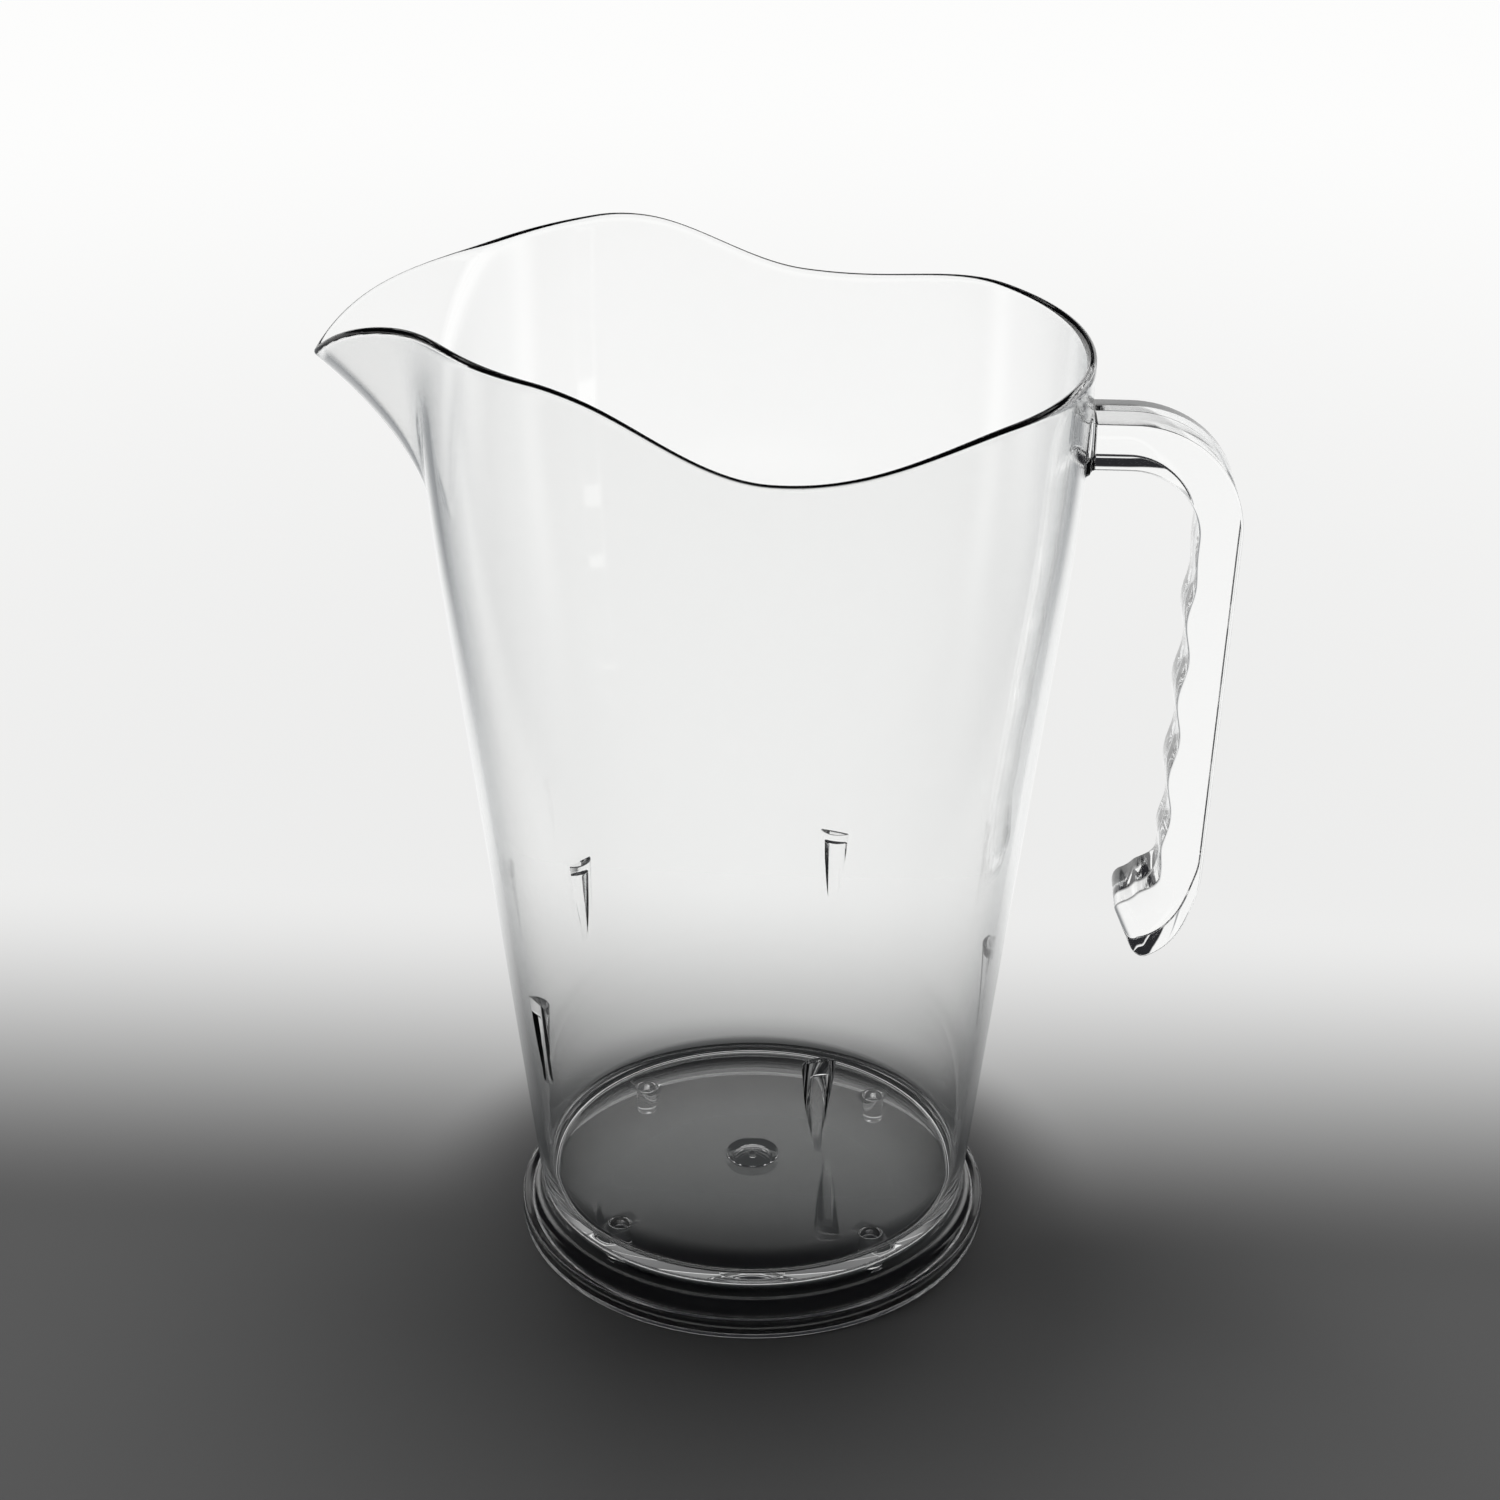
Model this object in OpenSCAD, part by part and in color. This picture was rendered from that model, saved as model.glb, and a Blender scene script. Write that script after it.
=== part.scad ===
// Clear moulded beer pitcher: tapered body with a wavy rim and a pulled spout,
// open bar handle with finger grooves, hollow foot, and inside lugs that carry a nested pitcher.
// Millimetres. The axis of the body is Z, the foot stands on Z = 0,
// the handle points along +X and the spout along -X.

/* [Foot] */
// Outer radius of the ring that the pitcher stands on
foot_r = 57.5; // [52:0.5:62]
// How far that ring stands out from the wall's cone, carried down to Z = 0
foot_step = 6.3; // [5:0.1:8]
// Height of the standing ring
foot_ring_h = 4.9; // [3:0.1:6]
// Wall of the standing ring
foot_ring_t = 3.2; // [2:0.1:4]
// Flat ledge on top of the standing ring, outside the hollow sweep up to the wall
ring_ledge = 1.1; // [0.7:0.1:1.5]
// Wall of the skirt under the floor
skirt_t = 2.6; // [2:0.1:3.5]
// Height of the plain skirt between the hollow sweep and the floor
skirt_rise = 2.1; // [0.5:0.1:5]

/* [Floor] */
// Thickness of the floor
floor_t = 2.6; // [1.8:0.1:3.5]
// Radius of the inside corner between floor and wall
corner_r = 3; // [1:0.5:5]
// Radius of the gate boss at the centre of the floor
boss_r = 6.4; // [4:0.1:9]
// Height of the gate boss
boss_h = 0.9; // [0.5:0.1:2]
// Height of the boss's upright edge, below its dome
boss_edge = 0.3; // [0.1:0.1:0.4]
// Radius of the gate well, the shallow recess under the boss
well_r = 4.6; // [3:0.1:6]
// Depth of the gate well
well_h = 1.2; // [0.5:0.1:1.4]
// Radius of the gate's stub in the well
stub_r = 0.9; // [0.5:0.1:1.5]

/* [Body] */
// Lean of the wall, in degrees from upright
wall_lean = 6.45; // [5:0.05:8]
// Thickness of the wall
wall_t = 2.1; // [1.6:0.1:3]
// Height at which the wall starts to turn upright
upright_from = 172; // [140:1:190]
// Height at which the wall is upright
upright_to = 230; // [200:1:245]

/* [Rim] */
// Height of the rim at the handle
rim_back_h = 224.2; // [215:0.1:230]
// How much higher the rim is beside the spout
rim_rise = 10.9; // [4:0.1:18]
// Depth of the dip in the rim on each side
dip_depth = 5.2; // [0:0.1:10]
// Direction of the dip, in degrees from the handle
dip_at = 78; // [60:1:90]
// Half width of the dip, in degrees
dip_half = 37; // [25:1:45]
// Direction in which the rim starts to rise to the spout, in degrees from the handle
rise_from = 84; // [75:1:95]
// Direction in which the rim has risen, in degrees from the handle
rise_to = 124.5; // [110:0.5:140]

/* [Spout] */
// How far the spout's tip stands out from the body
spout_reach = 22.8; // [12:0.1:30]
// Height of the spout from its root to its tip
spout_h = 21.3; // [18:0.1:40]
// Half height of the stretch in which the wall bends out into the spout
spout_blend = 20; // [8:0.5:21]
// Half width of the spout, in degrees
spout_half = 15.2; // [10:0.1:20]
// Drop of the rim at the spout's tip
tip_drop = 14.2; // [5:0.1:18]
// Half width of that drop, in degrees
tip_half = 13.8; // [9:0.1:18]

/* [Handle] */
// Drop from the rim to the handle's upper face
handle_drop = 13.7; // [10:0.1:20]
// Width of the handle
handle_w = 17.2; // [12:0.1:22]
// Distance from the wall to the handle's back
handle_reach = 34.2; // [30:0.1:45]
// Depth of the bar at its root
root_t = 10.6; // [8:0.1:14]
// Depth of the bar in the grip
grip_t = 9.6; // [7:0.1:12]
// Radius of the upper bend, at the middle of the bar
bend_r = 20.4; // [16:0.1:22]
// Length of the straight grip
grip_len = 84; // [70:1:95]
// Lean of the grip towards the body, in degrees
grip_lean = 2; // [0:0.5:4]
// Depth of the finger grooves
groove_depth = 1.5; // [0:0.1:2.5]
// Distance from one finger groove to the next
groove_pitch = 19.7; // [15:0.1:24]
// Radius of the hooked lower end, at the middle of the bar
hook_r = 16; // [14:0.5:20]
// Turn of the hooked end, in degrees
hook_turn = 65; // [40:1:75]
// Depth of the bar at its lower end
end_t = 16; // [12:0.1:18]
// Rounding of the bar's long edges
edge_r = 0.6; // [0.5:0.1:2]
// Rounding of the bar's end
end_round = 3; // [1:0.5:5]
// Radius of the flare where the bar meets the wall
flare_r = 1.2; // [0.8:0.1:3]

/* [Stacking lugs] */
// Clearance round the foot of a nested pitcher, which stands on the lugs' flat tops
nest_gap = 0.2; // [0.1:0.05:0.5]
// How far a lug's top stands in from the wall
lug_reach = 2.3; // [1.5:0.1:3]
// Radius of a lug's upright face
lug_round_r = 4.6; // [3:0.1:6]
// Radius of the outside pocket behind a lug
pocket_r = 2.3; // [1.5:0.1:3]
// Wall between a lug's upright face and its pocket
lug_wall = 1.9; // [1.5:0.1:2.2]
// Thickness of a lug above its pocket
lug_top_t = 3.2; // [2:0.1:5]

/* [Base pegs] */
// Radius of a peg
peg_r = 2.6; // [1.5:0.1:4]
// Radius of the flare where a peg meets the floor
peg_flare = 0.45; // [0.2:0.05:1]
// Rounding of a peg's lower end
peg_round = 0.7; // [0.2:0.1:1.4]
// Length of a peg below the floor
peg_len = 7.4; // [3:0.1:9]
// Distance from the circle on which the pegs stand out to the wall's cone
peg_inset = 9; // [8:0.1:20]

/* [Hidden] */

lug_count = 5;
peg_count = 4;
// The first peg stands this many degrees from the handle
peg_turn = 45;
// Angle step of a peg's flare and rounding
peg_step = 22.5;
// Cuts run past what they cut by this much
overrun = 1;
// Edge broken on the standing ring's upper rim
ring_break = 0.6;
// Angle steps used for slopes of the wall's surface, in degrees and as a share of its height
slope_step = 0.4;
slope_share = 0.002;

// Meridians of the body, crowded towards the spout by this many degrees
meridians = 132;
crowding = 35;
// Levels of the wall's rings, as shares of the height from floor to rim
level_shares = [0, 0.38, 0.75, 0.78, 0.805, 0.83, 0.853, 0.875, 0.897, 0.92, 0.945, 0.972, 1];
rim_arc = [45, 90, 135];
corner_arc = [90, 60, 30, 0];
// The spout narrows to this share of its width where it leaves the wall
spout_root_share = 0.35;

bend_steps = 14;
grip_steps = 44;
hook_steps = 12;
cap_arc = [30, 60, 90];
flare_arc = [90, 75, 60, 45, 30, 15, 0];
edge_steps = 4;
dome_steps = 10;
// The gate's stub ends this far above the floor's under side
stub_gap = 0.2;
// Share of the upper bend after which the bar thins to the grip
thin_share = 0.4;
// The hook's inner side is full by this share of its length
hook_full_share = 0.6;
// The hook's outer side spreads after this share of its length
hook_spread_share = 0.2;
// The first ridge between fingers, in groove pitches below the upper bend
ridge_share = 1;

$fn = 96;

clear_plastic = [0.87, 0.9, 0.9, 0.45];

lean = tan(wall_lean);
wall_base_r = foot_r - foot_step;
rim_front_h = rim_back_h + rim_rise;

// Centre and radius of the hollow sweep that ends on the ring's ledge and on the wall
cove_r = (foot_step - ring_ledge - lean * foot_ring_h) / (1 + lean);
cove_x = foot_r - ring_ledge;
cove_z = foot_ring_h + cove_r;
skirt_top = cove_z + skirt_rise;
floor_h = skirt_top + floor_t;

// The wall is as wide inside at this height as the foot of a nested pitcher and its clearance
lug_h = (foot_step + nest_gap + wall_t / cos(wall_lean)) / lean;
lug_face_r = inner_r(lug_h) - lug_reach;
lug_tip_h = lug_h - lug_reach / lean;
peg_circle_r = wall_base_r - peg_inset;

bar_mid_z = rim_back_h - handle_drop - root_t / 2;
wall_x = wall_r(bar_mid_z);
root_plane_x = wall_x + flare_r;
bend_x = wall_x + handle_reach - grip_t / 2 - bend_r;

function smooth(u) = u <= 0 ? 0 : u >= 1 ? 1 : (1 - cos(180 * u)) / 2;
function hump(u) = u >= 1 ? 0 : (1 + cos(180 * u)) / 2;
function blend(a, b, u) = a + (b - a) * u;
function unit(v) = v / norm(v);

// Outer radius of the body at height z, without the spout
function cone_r(z) = wall_base_r + lean * z;
function upright_gain(h, span) = h >= span ? span / 2 : h - h * h / (2 * span);
function wall_r(z) = z <= upright_from ? cone_r(z)
    : cone_r(upright_from) + lean * upright_gain(z - upright_from, upright_to - upright_from);

// Inner radius of the straight part of the wall
function inner_r(z) = cone_r(z) - wall_t / cos(wall_lean);

// Height of the rim's top at direction a, where 0 is the handle and 180 the spout
function from_handle(a) = a <= 180 ? a : 360 - a;
function rim_wave(s) = rim_back_h + (rim_front_h - rim_back_h) * smooth((s - rise_from) / (rise_to - rise_from))
    - dip_depth * hump(abs(s - dip_at) / dip_half);
function rim_h(a) = rim_wave(from_handle(a))
    - tip_drop / pow(1 + pow((180 - from_handle(a)) / tip_half, 2), 2);

// How far the spout stands out at a given depth below the rim, along its middle
function ramp(q) = q <= -spout_blend ? 0 : q >= spout_blend ? q : pow(q + spout_blend, 2) / (4 * spout_blend);
function spout_mid(depth) = spout_reach / spout_h * ramp(spout_h - depth);
function spout_width(reach) = spout_half * blend(spout_root_share, 1, reach / spout_reach);
function spout_out(a, reach) = reach * exp(-pow((180 - from_handle(a)) / spout_width(reach), 2));

// Outer surface of the wall: direction a, and u from 0 at the floor to 1 at the rim
function skin_top(a) = rim_h(a) - wall_t / 2;
function skin_z(a, u) = blend(floor_h, skin_top(a), u);
function skin_r(a, z) = wall_r(z) + spout_out(a, spout_mid(skin_top(a) - z));
function polar(a, r, z) = [r * cos(a), r * sin(a), z];
function skin(a, u) = polar(a, skin_r(a, skin_z(a, u)), skin_z(a, u));
function along(a, u) = unit(skin(a, u + slope_share) - skin(a, u - slope_share));
function around(a, u) = unit(skin(a + slope_step, u) - skin(a - slope_step, u));
function outward(a, u) = unit(cross(around(a, u), along(a, u)));
function lining(a, u) = skin(a, u) - wall_t * outward(a, u);
function rim_edge(a, turn) = skin(a, 1) - wall_t / 2 * (1 - cos(turn)) * outward(a, 1)
    + wall_t / 2 * sin(turn) * along(a, 1);
function corner(a, turn) = polar(a, inner_r(floor_h + corner_r) - corner_r * (1 - sin(turn)),
    floor_h + corner_r * (1 - cos(turn)));

function meridian(i) = 360 * i / meridians + crowding * sin(360 * i / meridians);
directions = [for (i = [0 : meridians - 1]) meridian(i)];
upper_shares = [for (k = [1 : len(level_shares) - 1]) level_shares[k]];

outer_rings = [for (u = level_shares) [for (a = directions) skin(a, u)]];
rim_rings = [for (t = rim_arc) [for (a = directions) rim_edge(a, t)]];
inner_rings = [for (k = [len(upper_shares) - 1 : -1 : 0]) [for (a = directions) lining(a, upper_shares[k])]];
corner_rings = [for (t = corner_arc) [for (a = directions) corner(a, t)]];

function flat(lists) = [for (one = lists) for (item = one) item];

// Faces of the band between ring k and ring m, for rings of n points
function band(k, m, n) = [for (i = [0 : n - 1]) let (j = (i + 1) % n)
    each [[k * n + i, m * n + i, m * n + j], [k * n + i, m * n + j, k * n + j]]];

// A closed loop of rings, such as the two skins of a wall and the edges between them
module ring_loop(rings) {
    n = len(rings[0]);
    count = len(rings);
    polyhedron(flat(rings), flat([for (k = [0 : count - 1]) band(k, (k + 1) % count, n)]), convexity = 8);
}

// A solid between a first and a last ring, each closed by a fan about its own centre
module ring_stack(rings) {
    n = len(rings[0]);
    count = len(rings);
    low = count * n;
    middle = function (ring) [for (axis = [0 : 2]) [for (p = ring) p[axis]] * [for (p = ring) 1 / n]];
    polyhedron(
        concat(flat(rings), [middle(rings[0]), middle(rings[count - 1])]),
        concat(
            flat([for (k = [0 : count - 2]) band(k, k + 1, n)]),
            [for (i = [0 : n - 1]) [low, i, (i + 1) % n]],
            [for (i = [0 : n - 1]) [low + 1, low - n + (i + 1) % n, low - n + i]]),
        convexity = 8);
}

// Everything inside the wall's outer skin
module body_envelope() ring_stack(outer_rings);

module upright_rod(r, from_r, low, high) translate([from_r + r, 0, low]) cylinder(r = r, h = high - low);

module lug_pocket(i) rotate(360 * i / lug_count)
    upright_rod(pocket_r, lug_face_r + lug_wall, lug_tip_h - overrun, lug_h - lug_top_t);

module jug_wall() {
    color(clear_plastic) difference() {
        ring_loop(concat(outer_rings, rim_rings, inner_rings, corner_rings));
        for (i = [0 : lug_count - 1]) lug_pocket(i);
    }
}

// Lug i stands inside the wall, with an upright round face and a flat top
module stacking_lug(i) {
    color(clear_plastic) intersection() {
        rotate(360 * i / lug_count) upright_rod(lug_round_r, lug_face_r, lug_tip_h - overrun, lug_h);
        lining_cone();
    }
}

// The straight cone of the lining, from the floor's corner to the first ring of the upper wall
module lining_cone() {
    low_ring = [for (a = directions) corner(a, 90)];
    high_ring = [for (a = directions) lining(a, level_shares[2])];
    ring_stack([low_ring, high_ring]);
}

// Outline of a low dome from its crown to its edge: radius r and height h
function dome(r, h) = let (big = (r * r + h * h) / (2 * h), spread = asin(r / big))
    [for (k = [0 : dome_steps]) let (turn = spread * k / dome_steps)
        [big * sin(turn), h - big * (1 - cos(turn))]];
function raised(outline, z) = [for (p = outline) [p[0], p[1] + z]];

// Flat floor with the gate well under it and, in the well's crown, the stub that the gate leaves
module floor_panel() {
    well = [for (p = raised(dome(well_r, well_h), skirt_top)) if (p[0] > stub_r) p];
    color(clear_plastic) rotate_extrude()
        polygon(concat([[0, skirt_top + stub_gap], [stub_r, skirt_top + stub_gap], [stub_r, well[0][1]]], well,
            [[cone_r(skirt_top), skirt_top], [cone_r(floor_h), floor_h], [0, floor_h]]));
}

// Low round boss with an upright edge and a domed top, over the gate
module gate_boss() {
    top = raised(dome(boss_r, boss_h - boss_edge), floor_h + boss_edge);
    color(clear_plastic) rotate_extrude() polygon(concat([[0, floor_h]], top, [[boss_r, floor_h]]));
}

// The skirt widens from the wall to the standing ring in a hollow sweep of even thickness
under_r = cove_r + skirt_t;
ring_inner_r = foot_r - foot_ring_t;
// Turns of the skirt's under side where the ring starts, and where it meets the ring's inner face
split_turn = asin(cove_r / under_r);
ring_turn = acos((foot_ring_t - ring_ledge) / under_r);
sweep_steps = 8;

function sweep(r, turn) = [cove_x - r * cos(turn), cove_z - r * sin(turn)];
function under(from, to) = [for (k = [0 : sweep_steps]) sweep(under_r, blend(from, to, k / sweep_steps))];

module foot_skirt() {
    cove = [for (k = [0 : sweep_steps]) sweep(cove_r, 90 * k / sweep_steps)];
    color(clear_plastic) rotate_extrude()
        polygon(concat([[cone_r(skirt_top), skirt_top]], cove, under(split_turn, 0),
            [[cone_r(skirt_top) - skirt_t, skirt_top]]));
}

module foot_ring() {
    color(clear_plastic) rotate_extrude()
        polygon(concat([[ring_inner_r, 0], [foot_r, 0], [foot_r, foot_ring_h - ring_break],
            [foot_r - ring_break, foot_ring_h]], under(split_turn, ring_turn)));
}

// A rounded rectangle: out and in are its reaches from the bar's middle line, half its half width
function section(out, in, half, r) = [for (q = [0 : 3]) for (k = [0 : edge_steps - 1])
    let (turn = 90 * (q + k / (edge_steps - 1)),
        u = (q == 0 || q == 3 ? out - r : r - in), v = (q < 2 ? half - r : r - half))
    [u + r * cos(turn), v + r * sin(turn)]];

// A station of the bar is [x, z, heading, out, in, half, r], with the heading in degrees below level
function heading(d) = [cos(d), -sin(d)];
function side(d) = [sin(d), cos(d)];
function station_ring(s) = [for (p = section(s[3], s[4], s[5], s[6]))
    let (n = side(s[2])) [s[0] + n[0] * p[0], -p[1], s[1] + n[1] * p[0]]];
function station(at, turn, out, in) = [at[0], at[1], turn, out, in, handle_w / 2, edge_r];

bend_turn = 90 + grip_lean;
bend_centre = [bend_x, bar_mid_z - bend_r];
grip_start = bend_centre + bend_r * side(bend_turn);
hook_start = grip_start + grip_len * heading(bend_turn);
hook_centre = hook_start - hook_r * side(bend_turn);
hook_end_turn = bend_turn + hook_turn;
hook_end = hook_centre + hook_r * side(hook_end_turn);

function groove(s) = groove_depth / 2 * cos(360 * (s / groove_pitch - ridge_share))
    * smooth(s / groove_pitch) * smooth((grip_len - s) / groove_pitch * 2);
function half_bar(u) = blend(root_t, grip_t, smooth((u - thin_share) / (1 - thin_share))) / 2;

bend_stations = [for (k = [0 : bend_steps - 1]) let (u = k / bend_steps, turn = bend_turn * u)
    station(bend_centre + bend_r * side(turn), turn, half_bar(u), half_bar(u))];
grip_stations = [for (k = [0 : grip_steps - 1]) let (s = grip_len * k / grip_steps)
    station(grip_start + s * heading(bend_turn), bend_turn, grip_t / 2, grip_t / 2 + groove(s))];
hook_stations = [for (k = [0 : hook_steps]) let (u = k / hook_steps, turn = bend_turn + hook_turn * u)
    station(hook_centre + hook_r * side(turn), turn,
        blend(grip_t, end_t, smooth((u - hook_spread_share) / (1 - hook_spread_share))) / 2,
        blend(grip_t, end_t, smooth(u / hook_full_share)) / 2)];
cap_stations = [for (t = cap_arc) let (shrink = end_round * (1 - cos(t)),
        at = hook_end + end_round * sin(t) * heading(hook_end_turn))
    [at[0], at[1], hook_end_turn, end_t / 2 - shrink, end_t / 2 - shrink, handle_w / 2 - shrink, edge_r]];

module handle_grip() {
    root = station([root_plane_x, bar_mid_z], 0, root_t / 2, root_t / 2);
    stations = concat([root], bend_stations, grip_stations, hook_stations, cap_stations);
    color(clear_plastic) ring_stack([for (s = stations) station_ring(s)]);
}

// Short flare between the bar and the wall, cut to the wall's own skin
function root_station(x, gain) = [x, bar_mid_z, 0, root_t / 2 + gain, root_t / 2 + gain,
    handle_w / 2 + gain, edge_r + gain];

module handle_root() {
    flared = [for (t = flare_arc) root_station(root_plane_x - flare_r * sin(t), flare_r * (1 - cos(t)))];
    buried = root_station(wall_x - wall_t, flare_r);
    color(clear_plastic) difference() {
        ring_stack([for (s = concat([buried], flared)) station_ring(s)]);
        body_envelope();
    }
}

// Peg i hangs from the floor, with a flare at the top and a rounded lower end
module base_peg(i) {
    low = skirt_top - peg_len;
    rounded = [for (t = [0 : peg_step : 90])
        [peg_r - peg_round * (1 - sin(t)), low + peg_round * (1 - cos(t))]];
    flared = [for (t = [0 : peg_step : 90])
        [peg_r + peg_flare * (1 - cos(t)), skirt_top - peg_flare * (1 - sin(t))]];
    color(clear_plastic) rotate(peg_turn + 360 * i / peg_count) translate([peg_circle_r, 0, 0])
        rotate_extrude() polygon(concat([[0, low]], rounded, flared, [[0, skirt_top]]));
}

jug_wall();
floor_panel();
gate_boss();
foot_skirt();
foot_ring();
handle_root();
handle_grip();
for (i = [0 : lug_count - 1])
    stacking_lug(i);
for (i = [0 : peg_count - 1])
    base_peg(i);
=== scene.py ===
"""Clear moulded beer pitcher: the vessel with its wavy rim and spout, its lugs, pegs and bar handle."""

import math

import bmesh
import bpy
from mathutils import Matrix, Vector
from mathutils.kdtree import KDTree


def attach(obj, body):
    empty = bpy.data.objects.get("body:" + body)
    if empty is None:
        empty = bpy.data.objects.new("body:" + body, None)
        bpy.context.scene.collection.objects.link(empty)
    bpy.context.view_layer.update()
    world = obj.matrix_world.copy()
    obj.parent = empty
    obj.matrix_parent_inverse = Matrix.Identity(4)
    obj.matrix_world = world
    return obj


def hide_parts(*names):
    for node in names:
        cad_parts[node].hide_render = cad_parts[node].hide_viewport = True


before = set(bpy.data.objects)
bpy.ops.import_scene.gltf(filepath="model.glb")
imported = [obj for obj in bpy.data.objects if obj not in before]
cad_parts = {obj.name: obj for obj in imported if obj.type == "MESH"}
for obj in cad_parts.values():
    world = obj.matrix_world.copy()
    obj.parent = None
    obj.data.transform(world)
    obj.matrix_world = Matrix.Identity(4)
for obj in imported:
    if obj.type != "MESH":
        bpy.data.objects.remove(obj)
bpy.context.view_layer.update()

bl_info = {
    "name": "Clear Beer Pitcher",
    "version": (1, 0, 0),
    "blender": (4, 5, 0),
    "location": "3D View > Sidebar > Pitcher",
    "description": "Builds a clear moulded beer pitcher on its frame, with its studio",
    "category": "Object",
}

NODES = [
    "jug_wall", "floor_panel", "gate_boss", "foot_skirt", "foot_ring", "handle_root", "handle_grip",
    "stacking_lug_1", "stacking_lug_2", "stacking_lug_3", "stacking_lug_4", "stacking_lug_5",
    "base_peg_1", "base_peg_2", "base_peg_3", "base_peg_4",
]
LUGS = 5
PEGS = 4
MM = 0.001

# Edges that turn by less than this, in degrees, are shaded smooth
CREASE = 32

# The studio. The floor lies just under the ring, so that the two faces don't share a place
FLOOR_SIZE = 12.0
FLOOR_LEVEL = -0.1 * MM
LENS = 68.4
CAMERA_PLACE = (0.03560, -0.59304, 0.42057)
CAMERA_TURN = 3.53  # degrees
CAMERA_DOWN = 26.41  # degrees
CAMERA_ROLL = 0.0032  # radians
# Light runs a long way inside the floor panel and the wall
LIGHT_BOUNCES = 32


def length(name, description, millimetres):
    return bpy.props.FloatProperty(
        name=name, description=description, default=millimetres * MM, min=0.0, precision=5, unit="LENGTH"
    )


def turn(name, description, degrees):
    return bpy.props.FloatProperty(
        name=name, description=description, default=math.radians(degrees), precision=4, subtype="ANGLE"
    )


def share(name, description, value):
    return bpy.props.FloatProperty(
        name=name, description=description, default=value, min=0.0, max=1.0, precision=4, subtype="FACTOR"
    )


def tone(name, description, colour):
    return bpy.props.FloatVectorProperty(
        name=name, description=description, default=colour, min=0.0, max=1.0, size=3, subtype="COLOR"
    )


class PitcherFoot(bpy.types.PropertyGroup):
    radius: length("Radius", "Outer radius of the standing ring", 57.5)
    step: length("Step", "How far the ring stands out from the wall's cone at the table", 6.3)
    ring_height: length("Ring height", "Height of the standing ring", 4.9)
    ring_wall: length("Ring wall", "Wall of the standing ring", 3.2)
    ring_break: length("Edge break", "Rounding of the standing ring's edges", 0.6)
    ledge: length("Ledge", "Flat ledge on the standing ring, outside the hollow sweep", 1.1)
    skirt_wall: length("Skirt wall", "Wall of the skirt under the floor", 2.6)
    skirt_rise: length("Skirt rise", "Height of the plain skirt between the hollow sweep and the floor", 2.1)
    floor_wall: length("Floor wall", "Thickness of the floor", 2.6)
    corner: length("Corner", "Radius of the inside corner between floor and wall", 3.0)
    boss_radius: length("Boss radius", "Radius of the gate boss", 6.4)
    boss_height: length("Boss height", "Height of the gate boss", 0.9)
    boss_edge: length("Boss edge", "Height of the boss's upright edge, below its dome", 0.3)
    well_radius: length("Well radius", "Radius of the gate well under the boss", 4.6)
    well_height: length("Well depth", "Depth of the gate well", 1.2)
    stub_radius: length("Stub radius", "Radius of the gate's stub in the well", 0.9)
    stub_gap: length("Stub gap", "Distance from the stub's end to the floor's under side", 0.2)


class PitcherBody(bpy.types.PropertyGroup):
    lean: turn("Lean", "Lean of the wall from upright", 6.45)
    wall: length("Wall", "Thickness of the wall", 2.1)
    upright_from: length("Upright from", "Height at which the wall starts to turn upright", 172.0)
    upright_to: length("Upright to", "Height at which the wall is upright", 230.0)
    rim_back: length("Rim at handle", "Height of the rim at the handle", 224.2)
    rim_rise: length("Rim rise", "How much higher the rim is beside the spout", 10.9)
    dip: length("Dip", "Depth of the dip in the rim on each side", 5.2)
    dip_at: turn("Dip direction", "Direction of the dip from the handle", 78.0)
    dip_half: turn("Dip half width", "Half width of the dip", 37.0)
    rise_from: turn("Rise from", "Direction in which the rim starts to rise", 84.0)
    rise_to: turn("Rise to", "Direction in which the rim has risen", 124.5)
    spout_reach: length("Spout reach", "How far the spout's tip stands out from the body", 22.8)
    spout_height: length("Spout height", "Height of the spout from its root to its tip", 21.3)
    spout_blend: length("Spout blend", "Half height of the bend from wall to spout", 20.0)
    spout_half: turn("Spout half width", "Half width of the spout", 15.2)
    spout_root: share("Spout root", "Share of its width that the spout has at its root", 0.35)
    tip_drop: length("Tip drop", "Drop of the rim at the spout's tip", 14.2)
    tip_half: turn("Tip half width", "Half width of that drop", 13.8)
    steps: bpy.props.IntProperty(name="Steps", description="Steps round the vessel", default=288, min=32)
    crowding: bpy.props.FloatProperty(
        name="Crowding", description="How much closer the steps lie at the spout",
        default=0.55, min=0.0, max=0.9,
    )


class PitcherHandle(bpy.types.PropertyGroup):
    drop: length("Drop", "Drop from the rim to the handle's upper face", 13.7)
    width: length("Width", "Width of the handle", 17.2)
    reach: length("Reach", "Distance from the wall to the handle's back", 34.2)
    root_depth: length("Root depth", "Depth of the bar at its root", 10.6)
    grip_depth: length("Grip depth", "Depth of the bar in the grip", 9.6)
    bend: length("Bend", "Radius of the upper bend at the middle of the bar", 20.4)
    grip_length: length("Grip length", "Length of the straight grip", 84.0)
    grip_lean: turn("Grip lean", "Lean of the grip towards the body", 2.0)
    groove_depth: length("Groove depth", "Depth of the finger grooves", 1.5)
    groove_pitch: length("Groove pitch", "Distance from one finger groove to the next", 19.7)
    hook: length("Hook", "Radius of the hooked lower end at the middle of the bar", 16.0)
    hook_turn: turn("Hook turn", "Turn of the hooked end", 65.0)
    end_depth: length("End depth", "Depth of the bar at its lower end", 16.0)
    end_round: length("End rounding", "Rounding of the bar's end", 3.0)
    edge: length("Edge", "Rounding of the bar's long edges", 0.6)
    flare: length("Flare", "Radius of the flare where the bar meets the wall", 1.2)


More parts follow.
